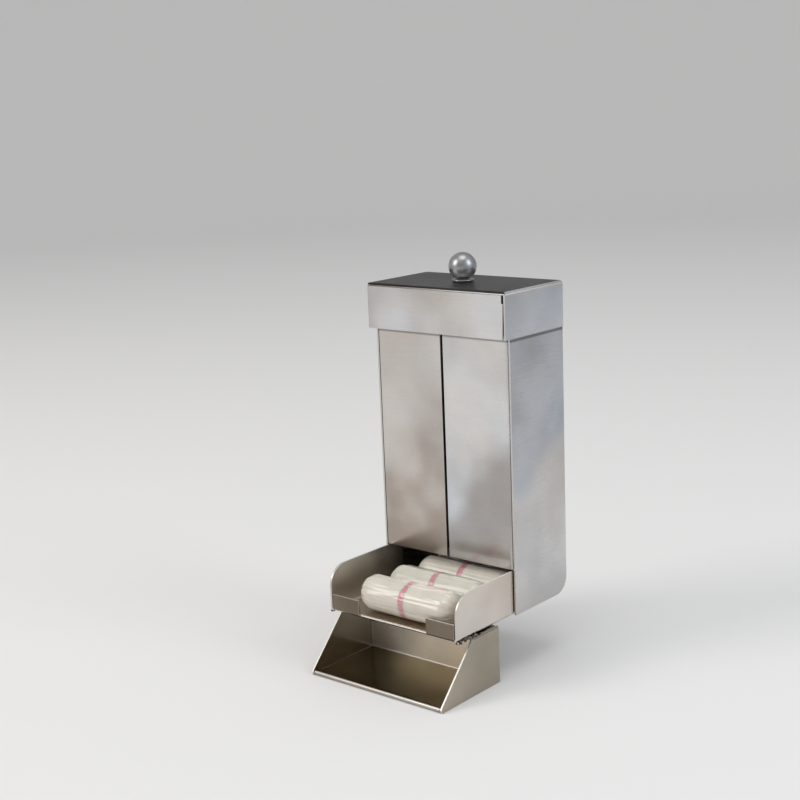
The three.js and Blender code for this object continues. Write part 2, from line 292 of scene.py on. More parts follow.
def lead(tree, target, found):
    """Links what was found to the named inputs of the target node."""
    for label, socket in found.items():
        tree.links.new(socket, target.inputs[label])


def reckon(tree, way, *values, kind="ShaderNodeMath"):
    """A step of arithmetic in a tree, on numbers or, by its kind, on vectors."""
    return output_of(tree, kind, dict(enumerate(values)), operation=way)


def joined(tree, x, y, z):
    return output_of(tree, "ShaderNodeCombineXYZ", {0: x, 1: y, 2: z})


def parted(tree, vector):
    return add_node(tree, "ShaderNodeSeparateXYZ", {0: vector}).outputs


def remap(tree, value, low, high, to_low=0, to_high=1, way="LINEAR"):
    return output_of(
        tree, "ShaderNodeMapRange",
        {"Value": value, "From Min": low, "From Max": high, "To Min": to_low,
         "To Max": to_high}, interpolation_type=way)


def noise(tree, place, scale=1.0, detail=1.0, roughness=0.5, seed=None):
    """Cloudy noise at a place, one of many where it has a seed."""
    sockets = {"Vector": place, "Scale": scale, "Detail": detail, "Roughness": roughness}
    if seed is None:
        return output_of(tree, "ShaderNodeTexNoise", sockets)
    return output_of(
        tree, "ShaderNodeTexNoise", {**sockets, "W": seed}, noise_dimensions="4D")


def from_noise(tree, value, to_low=0, to_high=1, reach=0.2):
    """Noise gathers round a half, so its middle is spread from one value to the other."""
    return remap(tree, value, 0.5 - reach, 0.5 + reach, to_low, to_high)


def blended(tree, share, first, second, kind="RGBA", way="MIX"):
    """A share of the second over the first: both are colours, vectors or numbers."""
    start = {"FLOAT": 2, "VECTOR": 4, "RGBA": 6}[kind]
    made = add_node(
        tree, "ShaderNodeMix", {0: share, start: first, start + 1: second},
        data_type=kind, blend_type=way)
    return made.outputs[start // 2 - 1]


def tinted(tree, tone, shade, share=1.0):
    return blended(tree, share, tone, shade, way="MULTIPLY")


def raised(tree, height, strength, depth):
    """The normal of fine relief whose height varies."""
    return output_of(
        tree, "ShaderNodeBump", {"Strength": strength, "Distance": depth, "Height": height})


# the grain of an abrasive belt: long fine lines across each face, under a soft uneven
# bloom left by rolling and polishing, with masks for where on the object a face lies,
# which the finishes use to paint light and shade: low down, facing up, facing forward,
# and in a thin band at the column's rim, for a painted shadow under the lid's foot
belt_grain, given, result = new_group(
    "belt grain", "ShaderNodeTree",
    {"Line Length": 0.02, "Line Width": 0.00016, "Bloom Size": 0.034,
     "Low From": usual_low_range[0], "Low To": usual_low_range[1], "Low Stray": 0.12,
     "Lean": 0.0, "Rim Height": 0.0001, "Seed": 0.0},
    ["Line", "Bloom", "Speck", "Warmth", "Upward", "Frontward", "Low", "Rim"])
tree = belt_grain
coordinates = add_node(tree, "ShaderNodeTexCoord").outputs
place = coordinates["Object"]
spot = parted(tree, place)
facing = parted(tree, coordinates["Normal"])
lies_flat = reckon(tree, "GREATER_THAN", reckon(tree, "ABSOLUTE", facing["Z"]), 0.7)
long = reckon(tree, "DIVIDE", 1.0, given["Line Length"])
fine = reckon(tree, "DIVIDE", 1.0, given["Line Width"])
stretch = blended(
    tree, lies_flat, joined(tree, long, long, fine), joined(tree, long, fine, long), "VECTOR")
drawn = reckon(tree, "MULTIPLY", place, stretch, kind="ShaderNodeVectorMath")
bloom_scale = reckon(tree, "DIVIDE", 1.0, given["Bloom Size"])
bloom = noise(tree, place, bloom_scale, detail=2.5, seed=given["Seed"])
warm_seed = reckon(tree, "ADD", given["Seed"], 7.3)
leaning = reckon(tree, "MULTIPLY_ADD", spot["X"], given["Lean"], spot["Z"])
strayed = reckon(
    tree, "MULTIPLY_ADD", reckon(tree, "SUBTRACT", bloom, 0.5), given["Low Stray"], leaning)
from_rim = reckon(tree, "ABSOLUTE", reckon(tree, "SUBTRACT", spot["Z"], given["Rim Height"]))
lead(tree, result, {
    "Line": noise(tree, drawn, detail=3, roughness=0.65, seed=given["Seed"]),
    "Bloom": bloom,
    "Speck": noise(tree, place, scale=1900, detail=2, roughness=0.7),
    "Warmth": noise(tree, place, bloom_scale, seed=warm_seed),
    "Upward": remap(tree, facing["Z"], 0.75, 0.98),
    "Frontward": remap(tree, facing["Y"], -0.75, -0.98),
    "Low": remap(tree, strayed, given["Low From"], given["Low To"], way="SMOOTHSTEP"),
    "Rim": remap(tree, from_rim, 0.0008, 0.0003)})


def brushed_steel(
        name, dark, bright, smooth, dull, seed, low_painted_light=even, top_painted_light=even, front_painted_light=even,
        rim_shadow_share=0.0, low_range=usual_low_range, lean=0.0, dulled=None, slanting_tint=even):
    """Belt-ground stainless sheet with plain sheared edges, painted lighter or darker by where
    a face lies to stand in for light, shade and reflections, with a painted highlight along
    inner folds.
    """
    steel, tree, shader = new_material(name, {"Metallic": 1.0, "Specular Tint": slanting_tint})
    grain = add_node(
        tree, "ShaderNodeGroup",
        {"Seed": seed, "Low From": low_range[0], "Low To": low_range[1], "Lean": lean},
        node_tree=belt_grain).outputs
    coarse = add_node(
        tree, "ShaderNodeGroup",
        {"Seed": seed + 3, "Line Width": 0.0006, "Line Length": 0.04, "Bloom Size": 0.012},
        node_tree=belt_grain).outputs
    tone = blended(tree, from_noise(tree, grain["Bloom"], reach=0.14), dark, bright)
    warm = blended(
        tree, from_noise(tree, grain["Warmth"], reach=0.15),
        (1.025, 0.995, 0.965, 1), (0.98, 1, 1.025, 1))
    for shade in (
            warm, from_noise(tree, grain["Line"], 0.955, 1.04),
            from_noise(tree, coarse["Line"], 0.99, 1.01),
            from_noise(tree, grain["Speck"], 0.965, 1.03),
            from_noise(tree, coarse["Bloom"], 0.965, 1.03)):
        tone = tinted(tree, tone, shade)
    # painted light and shade: the tone is made lighter or darker low down, on faces turned up
    # and on faces turned forward
    for mask, shade in (("Low", low_painted_light), ("Upward", top_painted_light), ("Frontward", front_painted_light)):
        if shade != even:
            tone = tinted(tree, tone, shade, grain[mask])
    # a thin band just under the lid's foot is painted dark: a painted shadow of the lid's skirt
    if rim_shadow_share:
        tone = blended(tree, remap(tree, grain["Rim"], 0, 1, 0, rim_shadow_share), tone, painted_shadow_tone)
    gloss = reckon(
        tree, "ADD", from_noise(tree, grain["Line"], dull, smooth),
        from_noise(tree, coarse["Bloom"], -0.02, 0.03, reach=0.15))
    if dulled:
        mask, roughness = dulled
        gloss = blended(tree, grain[mask], gloss, roughness, "FLOAT")
    # sheared edges keep their own plain tone; inner folds get a painted highlight
    for mark, colour, roughness in (
            ("cut_edge", edge_tone, edge_roughness), ("inner_fold", fold_highlight_tone, fold_roughness)):
        share = add_node(tree, "ShaderNodeAttribute", attribute_name=mark).outputs["Fac"]
        tone = blended(tree, share, tone, colour)
        gloss = blended(tree, share, gloss, roughness, "FLOAT")
    lead(tree, shader, {
        "Base Color": tone, "Roughness": gloss,
        "Normal": raised(tree, grain["Line"], strength=0.12, depth=0.00001)})
    return steel


def fit(piece, node, body, finish=None):
    """Puts a piece in its node's place on its body, in its finish."""
    if finish:
        piece.data.materials.append(finish)
    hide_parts(node)
    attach(piece, body)


def refinish(piece, finishes, chosen):
    """Gives a piece further finishes: chosen says which of them each face has."""
    for finish in finishes:
        piece.data.materials.append(finish)
    all_finishes = list(piece.data.materials)
    for face in piece.data.polygons:
        face.material_index = all_finishes.index(chosen(face.center, face.normal))


# the tray's floor is painted lighter and the lip's forward faces much darker, standing in for
# the reflections they show; low down the sheet is painted a touch lighter: painted light
column_steel = brushed_steel(
    "column_steel", (0.495, 0.468, 0.440, 1), (0.648, 0.624, 0.596, 1), 0.19, 0.26, 1.0,
    low_painted_light=(1.08, 1.04, 1.0, 1), top_painted_light=(1.20, 1.14, 1.01, 1),
    front_painted_light=(0.300, 0.265, 0.220, 1), dulled=("Upward", 0.36))
wall_painted_light = brushed_steel(
    "left_wall_painted_light", (0.69, 0.655, 0.600, 1), (0.82, 0.785, 0.730, 1), 0.28, 0.36, 3.0)


def wall_finish(spot, facing):
    """Painted lighter on the inside of the left wall, as painted light, and as ground
    elsewhere.
    """
    return wall_painted_light if spot.x < 0 and facing.x > squarely else column_steel


back_and_tray = finished_solid("back_and_tray_sheet", "folded_back_and_tray")
fit(back_and_tray, "back_and_tray_sheet", "housing", column_steel)
refinish(back_and_tray, [wall_painted_light], wall_finish)


# Side plates: two flat plates of the same sheet, cut with a round rear corner
# and a sloping foot, laid over the folded edges of the back and welded there.
sides = {"left": -1, "right": 1}
# the plates are painted lighter low down, as painted light, and dark in a thin band under the
# lid, as painted shadow
side_steel = brushed_steel(
    "side_plate_steel", (0.380, 0.392, 0.418, 1), (0.495, 0.520, 0.564, 1), 0.21, 0.28, 5.0,
    low_painted_light=(1.42, 1.33, 1.22, 1), rim_shadow_share=0.75)
for side in sides:
    node = side + "_side_plate"
    fit(finished_solid(node, side + "_side"), node, "housing", side_steel)


# Front panels: two plates with a flange folded back along the open slit, which
# shows how many tampons are left. Each is welded along the side plate.
# both panels are painted darker low down, along a leaning line, as painted shade, and dark in a
# thin band under the lid, as painted shadow
left_steel = brushed_steel(
    "left_panel_steel", (0.535, 0.502, 0.474, 1), (0.635, 0.608, 0.586, 1), 0.18, 0.24, 11.0,
    low_painted_light=(0.72, 0.67, 0.635, 1), rim_shadow_share=0.6, low_range=(-0.034, -0.070), lean=-0.9)
right_steel = brushed_steel(
    "right_panel_steel", (0.510, 0.510, 0.510, 1), (0.650, 0.660, 0.672, 1), 0.17, 0.23, 14.0,
    low_painted_light=(0.78, 0.735, 0.71, 1), rim_shadow_share=0.6, low_range=(-0.052, -0.086), lean=-0.9)
left_edge, front_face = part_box("front_left_panel")[0].xy
fold_outside = 0.0013
tight_fold = 0.0004
tight_shift = 0.0002
nearness = 0.00002


def hammered_corner(shape):
    """The left panel's fold is dressed square and tight against its side plate."""
    fold_centre = Vector((left_edge + fold_outside, front_face + fold_outside))
    tight_centre = Vector((left_edge + tight_fold, front_face + tight_fold))
    for point in shape.verts:
        spoke = point.co.xy - fold_centre
        on_fold = abs(spoke.length - fold_outside) < nearness
        if on_fold and max(spoke) < -5 * nearness:
            # the middle half of the old fold makes the whole of the tight one
            turn = math.atan2(-spoke.y, -spoke.x) / (math.pi / 2)
            turn = min(max((turn - 0.25) * 2, 0), 1) * math.pi / 2
            point.co.x = tight_centre.x - tight_fold * math.cos(turn)
            point.co.y = tight_centre.y - tight_fold * math.sin(turn)
        if point.co.x < left_edge + fold_outside:
            point.co.x -= tight_shift


fit(finished_solid("front_left_panel", "left_front", dress=hammered_corner),
    "front_left_panel", "housing", left_steel)
fit(finished_solid("front_right_panel", "right_front"),
    "front_right_panel", "housing", right_steel)


# Scoop: a sheet folded into flange, back, bottom and a flattened front hem, and two
# slanted cheeks, welded together. Its steel is smoother and darker and mirrors what
# is near. Its bottom is painted darker and its back much lighter, as painted
# reflections, and its dim olive slanting tint is painted shade in its grazing
# reflections. The nose of the hem is worn matt.
scoop_steel = brushed_steel(
    "scoop_steel", (0.400, 0.364, 0.306, 1), (0.500, 0.464, 0.405, 1), 0.15, 0.21, 17.0,
    top_painted_light=(0.76, 0.73, 0.64, 1), front_painted_light=(1.98, 2.02, 2.16, 1),
    dulled=("Frontward", 0.56), slanting_tint=(0.50, 0.46, 0.38, 1))
worn_steel = brushed_steel(
    "worn_nose_steel", (0.380, 0.362, 0.330, 1), (0.490, 0.470, 0.434, 1), 0.28, 0.36, 19.0)
scoop_low, scoop_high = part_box("scoop_sheet")
nose_length = 0.0008
clearly_forward = -0.2


def scoop_finish(spot, facing):
    """Worn on the front of the hem's nose, and as ground elsewhere."""
    on_nose = spot.y < scoop_low.y + nose_length
    return worn_steel if on_nose and facing.y < clearly_forward else scoop_steel


scoop = finished_solid("scoop_sheet", "scoop_fold")
fit(scoop, "scoop_sheet", "housing", scoop_steel)
refinish(scoop, [worn_steel], scoop_finish)
for side in sides:
    node = f"scoop_{side}_cheek"
    fit(finished_solid(node, f"scoop_{side}_side"), node, "housing", scoop_steel)


# Weld beads: a short uneven run under each lower edge of the tray, where the scoop's
# cheek meets it, thinner towards the back. They are left as welded, with bright specks;
# their near-black burnt tone is also a painted shadow of the gap under the tray.
bead_size = 0.00064
bead_scatter = 0.00042
bead_count = 17
bead_seeds = {"left": 3, "right": 5}
least_swelling = (0.45, 0.6, 0.4)
most_swelling = (0.95, 1.7, 1.15)
run_setback = 0.0012
run_length = 0.0135
start_inset = 0.0002
start_lift = 0.00015
end_inset = 0.0007
end_drop = 0.00025
tray_low, tray_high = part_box("back_and_tray_sheet")
cheek_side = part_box("scoop_right_cheek")[1].x
run_front = tray_low.y + run_setback
run_start = (tray_high.x - start_inset, run_front, tray_low.z + start_lift)
run_end = (cheek_side - end_inset, run_front + run_length, tray_low.z - end_drop)


def scaled(tree, vector, share):
    return output_of(
        tree, "ShaderNodeVectorMath", {0: vector, "Scale": share}, operation="SCALE")


def close_tree(tree, result, geometry, finish):
    """A tree's last steps: smooth shading, instances made real and the finish put on."""
    smooth = output_of(tree, "GeometryNodeSetShadeSmooth", {"Geometry": geometry})
    whole = output_of(tree, "GeometryNodeRealizeInstances", {"Geometry": smooth})
    lead(tree, result, {"Geometry": output_of(
        tree, "GeometryNodeSetMaterial", {"Geometry": whole, "Material": finish})})


def grown_piece(name, tree, values):
    """A plain mesh piece from a geometry tree: inputs without a value keep their usual one."""
    piece = new_piece(name, bpy.data.meshes.new(name))
    growth = piece.modifiers.new("growth", "NODES")
    growth.node_group = tree
    keys = {
        item.name: item.identifier for item in tree.interface.items_tree
        if item.item_type == "SOCKET" and item.in_out == "INPUT"}
    for label, value in values.items():
        growth[keys[label]] = value
    make_plain(piece)
    shape = bmesh.new()
    shape.from_mesh(piece.data)
    bmesh.ops.recalc_face_normals(shape, faces=shape.faces)
    shape.to_mesh(piece.data)
    shape.free()
    return piece


bead_run, given, result = new_group(
    "bead run", "GeometryNodeTree",
    {"Start": "Vector", "End": "Vector", "Count": bead_count, "Bead Size": bead_size,
     "Scatter": bead_scatter, "Thick Share": 1.35, "Thin Share": 0.55, "Pit Depth": 0.00018,
     "Bump Height": 0.00012, "Seed": 0, "Finish": "Material"},
    ["Geometry"])
tree = bead_run
run = output_of(
    tree, "GeometryNodeMeshLine",
    {"Count": given["Count"], "Start Location": given["Start"], "Offset": given["End"]},
    mode="END_POINTS")
stray = output_of(
    tree, "FunctionNodeRandomValue",
    {"Min": (-1, -1, -1), "Max": (1, 1, 1), "Seed": given["Seed"]}, data_type="FLOAT_VECTOR")
moved = output_of(
    tree, "GeometryNodeSetPosition",
    {"Geometry": run, "Offset": scaled(tree, stray, given["Scatter"])})
bead = output_of(
    tree, "GeometryNodeMeshIcoSphere", {"Radius": given["Bead Size"], "Subdivisions": 3})
swelling = output_of(
    tree, "FunctionNodeRandomValue",
    {"Min": least_swelling, "Max": most_swelling,
     "Seed": reckon(tree, "ADD", given["Seed"], 1)}, data_type="FLOAT_VECTOR")
thinning = remap(
    tree, output_of(tree, "GeometryNodeInputIndex"), 0, given["Count"],
    given["Thick Share"], given["Thin Share"])
beads = output_of(
    tree, "GeometryNodeInstanceOnPoints",
    {"Points": moved, "Instance": bead, "Scale": scaled(tree, swelling, thinning)})
whole = output_of(tree, "GeometryNodeRealizeInstances", {"Geometry": beads})
pitted = noise(tree, output_of(tree, "GeometryNodeInputPosition"), scale=1500, detail=2)
pit_depth = from_noise(
    tree, pitted, reckon(tree, "MULTIPLY", given["Pit Depth"], -1), given["Bump Height"])
rough = output_of(tree, "GeometryNodeSetPosition", {
    "Geometry": whole,
    "Offset": scaled(tree, output_of(tree, "GeometryNodeInputNormal"), pit_depth)})
merged = output_of(
    tree, "GeometryNodeMeshBoolean", {1: rough, "Self Intersection": True},
    operation="UNION", solver="EXACT")
close_tree(tree, result, merged, given["Finish"])

burnt_and_shaded_weld, tree, shader = new_material("burnt_weld_and_painted_shadow", {"Metallic": 1.0})
place = add_node(tree, "ShaderNodeTexCoord").outputs["Object"]
marks = noise(tree, place, scale=1300, detail=3, roughness=0.65)
# near-black burnt tone: partly weld colour, partly a painted shadow of the gap under the tray
burnt_and_shaded = blended(
    tree, from_noise(tree, noise(tree, place, scale=420), reach=0.15),
    (0.070, 0.058, 0.050, 1), (0.150, 0.125, 0.098, 1))
tone = blended(tree, remap(tree, marks, 0.59, 0.67), burnt_and_shaded, (0.74, 0.71, 0.65, 1))
lead(tree, shader, {"Base Color": tone, "Roughness": remap(tree, marks, 0.4, 0.65, 0.55, 0.3)})


def on_side(side, place):
    """A place on the right side, or its mirrored place on the left."""
    return (sides[side] * place[0], place[1], place[2])


for side in sides:
    beads = grown_piece(side + "_weld_beads", bead_run, {
        "Start": on_side(side, run_start), "End": on_side(side, run_end),
        "Seed": bead_seeds[side], "Finish": burnt_and_shaded_weld})
    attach(beads, "housing")


# Foot seams: inside the scoop each cheek is brazed to the bottom along its foot.
# The joint is wiped smooth while hot and stays as a thin, bright, wavy line.
seam_lift = 0.00005
front_setback = 0.0029
back_setback = 0.0014
seam_side = (scoop_high.x + cheek_side - sheet_thickness) / 2
seam_height = scoop_low.z + sheet_thickness + seam_lift
seam_front = (seam_side, scoop_low.y + front_setback, seam_height)
seam_back = (seam_side, scoop_high.y - back_setback, seam_height)

foot_seam, given, result = new_group(
    "foot seam", "GeometryNodeTree",
    {"Start": "Vector", "End": "Vector", "Seam Radius": 0.00020, "Wave": 0.00007,
     "Steps": 90, "Sides": 10, "Finish": "Material"},
    ["Geometry"])
tree = foot_seam
path = output_of(
    tree, "GeometryNodeCurvePrimitiveLine", {"Start": given["Start"], "End": given["End"]})
stepped = output_of(
    tree, "GeometryNodeResampleCurve", {"Curve": path, "Count": given["Steps"]})
waved = add_node(
    tree, "ShaderNodeTexNoise",
    {"Vector": output_of(tree, "GeometryNodeInputPosition"), "Scale": 420.0, "Detail": 1.0})
centred = reckon(
    tree, "SUBTRACT", waved.outputs["Color"], (0.5, 0.5, 0.5), kind="ShaderNodeVectorMath")
bent = output_of(
    tree, "GeometryNodeSetPosition",
    {"Geometry": stepped, "Offset": scaled(tree, centred, given["Wave"])})
ring = output_of(
    tree, "GeometryNodeCurvePrimitiveCircle",
    {"Resolution": given["Sides"], "Radius": given["Seam Radius"]})
drawn = output_of(
    tree, "GeometryNodeCurveToMesh", {"Curve": bent, "Profile Curve": ring, "Fill Caps": True})
close_tree(tree, result, drawn, given["Finish"])
for side in sides:
    seam = grown_piece(side + "_foot_seam", foot_seam, {
        "Start": on_side(side, seam_front), "End": on_side(side, seam_back),
        "Finish": worn_steel})
    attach(seam, "housing")


# Lid cover: a shallow box folded from one sheet. Its top and the top of its front fold
# are painted dark grey, a painted reflection, its sides a cooler grey, a painted
# reflection too, and its front darker towards its foot, as painted shade. Its front
# left corner is closed and round, and its front right one is an open seam that ends in
# a wider bend relief. The seam and a band along the front fold are painted near
# black: painted shade.
lid_steel = brushed_steel(
    "lid_steel", (0.545, 0.534, 0.520, 1), (0.665, 0.666, 0.670, 1), 0.20, 0.27, 23.0,
    low_painted_light=(0.87, 0.83, 0.825, 1), low_range=(0.016, -0.024), lean=1.0)
# the sides' cooler grey is a painted reflection
lid_side_painted_cool = brushed_steel(
    "lid_side_painted_cool", (0.500, 0.516, 0.548, 1), (0.622, 0.648, 0.692, 1), 0.20, 0.27, 25.0)
# the top's dark grey, with dimmed grazing reflections, is a painted reflection
top_painted_shade = brushed_steel(
    "top_painted_shade", (0.225, 0.219, 0.215, 1), (0.310, 0.304, 0.300, 1), 0.26, 0.32, 27.0,
    slanting_tint=(0.40, 0.40, 0.41, 1))
# near black: painted shade for the seam and the front fold
seam_and_fold_painted_shade = brushed_steel(
    "seam_and_fold_painted_shade", (0.030, 0.028, 0.026, 1), (0.060, 0.056, 0.052, 1), 0.5, 0.6, 29.0)
lid_low, lid_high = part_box("lid_cover")
seam_width = 0.0004
seam_pinch = 0.00015
seam_spread = 0.0003
seam_reach = 0.0025
seam_depth = 0.0001
slightly = 0.1
partly_up = 0.4
nearly_flat = 0.95


def sprung_seam(shape):
    """The front skirt's free end is sprung, so the seam opens towards its foot."""
    free_end = lid_high.x - sheet_thickness - seam_width
    for point in shape.verts:
        if (abs(point.co.x - free_end) < nearness
                and point.co.y < lid_low.y + 1.1 * sheet_thickness):
            at_foot = point.co.z < lid_low.z + sheet_thickness
            point.co.x += -seam_spread if at_foot else seam_pinch


def lid_finish(spot, facing):
    """Painted shade in the seam and front fold, a painted dark reflection on top, a painted
    cooler reflection at the sides.
    """
    on_top = spot.z > lid_high.z - fold_outside
    front_fold = on_top and facing.y < -slightly
    in_seam = (
        not on_top and spot.y < lid_low.y + sheet_thickness and facing.x > squarely
        and lid_high.x - seam_reach < spot.x < lid_high.x - seam_depth)
    if in_seam or front_fold and partly_up < facing.z < nearly_flat:
        return seam_and_fold_painted_shade
    if on_top and facing.z > nearly_flat or front_fold and facing.z > slightly:
        return top_painted_shade
    return lid_side_painted_cool if abs(facing.x) > squarely else lid_steel


lid = finished_solid("lid_cover", "folded_lid", dress=sprung_seam)
fit(lid, "lid_cover", "lid", lid_steel)
refinish(lid, [top_painted_shade, seam_and_fold_painted_shade, lid_side_painted_cool], lid_finish)


# Knob: a turned steel ball, fine-satined on the lathe and a shade darker than
# the sheet. It stands on a thin collar, held by a screw and washer from below.
ball_low, ball_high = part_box("lid_knob")
ball_radius = 0.0055
ball_middle = ball_high.z - ball_radius
knob_axis = (ball_low.xy + ball_high.xy) / 2
foot_break = 0.00025
collar_rounding = 0.00012
fastener_rounding = 0.00008
turning_steps = 96
arc_steps = 40


def turned_metal(name, dark, bright, smooth, dull, ring_width):
    """Metal finished on a lathe: fine rings round the knob's axis, with a soft bloom."""
    metal, tree, shader = new_material(name, {"Metallic": 1.0})
    place = add_node(tree, "ShaderNodeTexCoord").outputs["Object"]
    apart = parted(tree, output_of(
        tree, "ShaderNodeMapping",
        {"Vector": place, "Location": (-knob_axis.x, -knob_axis.y, 0)}))
    across = joined(tree, apart["X"], apart["Y"], 0)
    radius = add_node(tree, "ShaderNodeVectorMath", {0: across}, operation="LENGTH")
    ringed = joined(tree, radius.outputs["Value"], 0, apart["Z"])
    rings = noise(tree, ringed, 1 / ring_width, detail=2, roughness=0.6)
    bloom = noise(tree, place, scale=260, detail=3, roughness=0.55)
    tone = blended(tree, from_noise(tree, bloom, reach=0.15), dark, bright)
    lead(tree, shader, {
        "Base Color": tinted(tree, tone, from_noise(tree, rings, 0.9, 1.08)),
        "Roughness": from_noise(tree, rings, dull, smooth),
        "Normal": raised(tree, rings, strength=0.25, depth=0.00001)})
    return metal


knob_steel = turned_metal(
    "knob_steel", (0.310, 0.312, 0.322, 1), (0.430, 0.434, 0.446, 1), 0.30, 0.37, 0.0001)
plated_steel = turned_metal(
    "plated_steel", (0.60, 0.60, 0.61, 1), (0.70, 0.70, 0.71, 1), 0.12, 0.22, 0.00015)

foot_radius = math.sqrt(ball_radius ** 2 - (ball_middle - ball_low.z) ** 2)
foot_angle = math.asin((ball_low.z - ball_middle) / ball_radius)
start_angle = foot_angle + foot_break / ball_radius
ball_profile = [(0, ball_low.z), (foot_radius - foot_break, ball_low.z)]
for step in range(arc_steps + 1):
    angle = start_angle + (math.pi / 2 - start_angle) * step / arc_steps
    radius = ball_radius * math.cos(angle) if step < arc_steps else 0
    ball_profile.append((radius, ball_middle + ball_radius * math.sin(angle)))
ball = new_piece("ball_knob", spin_profile(ball_profile, turning_steps, knob_axis))
fit(ball, "lid_knob", "lid", knob_steel)
fit(finished_solid("knob_collar", "knob_ring", collar_rounding),
    "knob_collar", "lid", knob_steel)
for node, name in (("knob_washer", "under_washer"), ("knob_screw", "pan_head_screw")):
    fit(finished_solid(node, name, fastener_rounding),
        node, "lid", plated_steel)


# Wrapped tampons: cotton pressed to a rounded rod, wound in a cream film that
# clings in long creases, laps along its length and is pleated in at both ends.
tampon_radius = 0.0075
film_inset = 0.00010
film_radius = tampon_radius - film_inset
end_round = 0.0062
end_dimple = 0.0006
body_part = 0.40
round_part = 0.86
crease_depth = 0.00030
crease_stretch = 17.0
crease_waves = 2.6
crest_width = 0.15
lump_stretch = 50.0
lump_waves = 0.9
lump_share = 0.8
lap_depth = 0.00014
pleat_depth = 0.00034
pleat_count = 13
pleat_stray = 7.0
steps_along = 121
steps_round = 144
film_weld = 0.00001
seed_step = 3.7


def in_turn(tree, way, first, *others):
    """One step of arithmetic repeated over all the values, from the first to the last."""
    for other in others:
        first = reckon(tree, way, first, other)
    return first


def times(tree, *values):
    return in_turn(tree, "MULTIPLY", *values)


def plus(tree, *values):
    return in_turn(tree, "ADD", *values)


def round_axis(tree, along, spread, turn):
    """A place along a tampon's axis, out from it and turned round it."""
    return joined(
        tree, along, times(tree, spread, reckon(tree, "COSINE", turn)),
        times(tree, spread, reckon(tree, "SINE", turn)))


def laid_sheet(tree, flat, shaped, centre, weld_distance):
    """A flat grid taken to its shape round a centre, its meeting edges welded."""
    place = reckon(tree, "ADD", shaped, centre, kind="ShaderNodeVectorMath")
    laid = output_of(tree, "GeometryNodeSetPosition", {"Geometry": flat, "Position": place})
    return output_of(
        tree, "GeometryNodeMergeByDistance", {"Geometry": laid, "Distance": weld_distance})


# the film's distance from the tampon's axis, given the place along and round it
film_surface, given, result = new_group(
    "film surface", "GeometryNodeTree",
    {"Along": 0.0, "Turn": 0.0, "Radius": film_radius, "Near End": 0.0,
     "Crease Depth": crease_depth, "Pleat Depth": pleat_depth, "Lap Turn": 0.0,
     "Lap Depth": lap_depth, "Seed": 0.0},
    ["Radius"])
tree = film_surface
crease_place = round_axis(
    tree, times(tree, given["Along"], crease_stretch), crease_waves, given["Turn"])
lump_place = round_axis(
    tree, times(tree, given["Along"], lump_stretch), lump_waves, given["Turn"])
creases = noise(tree, crease_place, detail=2, roughness=0.55, seed=given["Seed"])
lumps = noise(tree, lump_place, seed=given["Seed"])
from_crest = reckon(tree, "ABSOLUTE", reckon(tree, "SUBTRACT", creases, 0.5))
creased = times(tree, remap(tree, from_crest, 0, crest_width), given["Crease Depth"])
lumpy = times(tree, from_noise(tree, lumps, 0, lump_share), given["Crease Depth"])
past_lap = reckon(
    tree, "WRAP", reckon(tree, "SUBTRACT", given["Turn"], given["Lap Turn"]), 2 * math.pi, 0)
lapped = times(tree, reckon(tree, "DIVIDE", past_lap, 2 * math.pi), given["Lap Depth"])
pleat_turn = plus(
    tree, times(tree, given["Turn"], pleat_count), times(tree, creases, pleat_stray))
pleats = times(
    tree, reckon(tree, "MULTIPLY_ADD", reckon(tree, "SINE", pleat_turn), 0.5, 0.5),
    given["Near End"], given["Pleat Depth"])
inset = plus(tree, creased, lumpy, pleats, lapped)
lead(tree, result, {"Radius": reckon(tree, "SUBTRACT", given["Radius"], inset)})

wrapped_tampon, given, result = new_group(
    "wrapped tampon", "GeometryNodeTree",
    {"Centre": "Vector", "Half Length": "Float", "Radius": film_radius,
     "End Round": end_round, "End Dimple": end_dimple, "Lap Turn": "Float",
     "Steps Along": steps_along, "Steps Round": steps_round, "Seed": 0.0, "Film": "Material"},
    ["Geometry"])
tree = wrapped_tampon
flat = output_of(
    tree, "GeometryNodeMeshGrid",
    {"Size X": 2.0, "Size Y": 2 * math.pi, "Vertices X": given["Steps Along"],
     "Vertices Y": given["Steps Round"]})
spot = parted(tree, output_of(tree, "GeometryNodeInputPosition"))
end = reckon(tree, "SIGN", spot["X"])
reach = reckon(tree, "ABSOLUTE", spot["X"])
on_body = remap(tree, reach, 0, body_part)
on_round = remap(tree, reach, body_part, round_part)
on_end = remap(tree, reach, round_part, 1)
short_of_end = reckon(tree, "SUBTRACT", 1, on_end)
round_angle = times(tree, on_round, math.pi / 2)
straight = reckon(tree, "SUBTRACT", given["Half Length"], given["End Round"])
core = reckon(tree, "SUBTRACT", given["Radius"], given["End Round"])
outward = plus(
    tree, times(tree, straight, on_body),
    times(tree, given["End Round"], reckon(tree, "SINE", round_angle)))
along = times(tree, outward, end)
spread = plus(
    tree, times(tree, core, short_of_end),
    times(tree, given["End Round"], reckon(tree, "COSINE", round_angle)))
film = output_of(
    tree, "GeometryNodeGroup",
    {"Along": along, "Turn": spot["Y"], "Radius": given["Radius"],
     "Near End": times(tree, on_round, short_of_end), "Lap Turn": given["Lap Turn"],
     "Seed": given["Seed"]}, node_tree=film_surface)
shrunk = times(tree, spread, reckon(tree, "DIVIDE", film, given["Radius"]))
dimple = times(tree, on_end, on_end, given["End Dimple"], end)
shaped = round_axis(tree, reckon(tree, "SUBTRACT", along, dimple), shrunk, spot["Y"])
closed = laid_sheet(tree, flat, shaped, given["Centre"], film_weld)
close_tree(tree, result, closed, given["Film"])


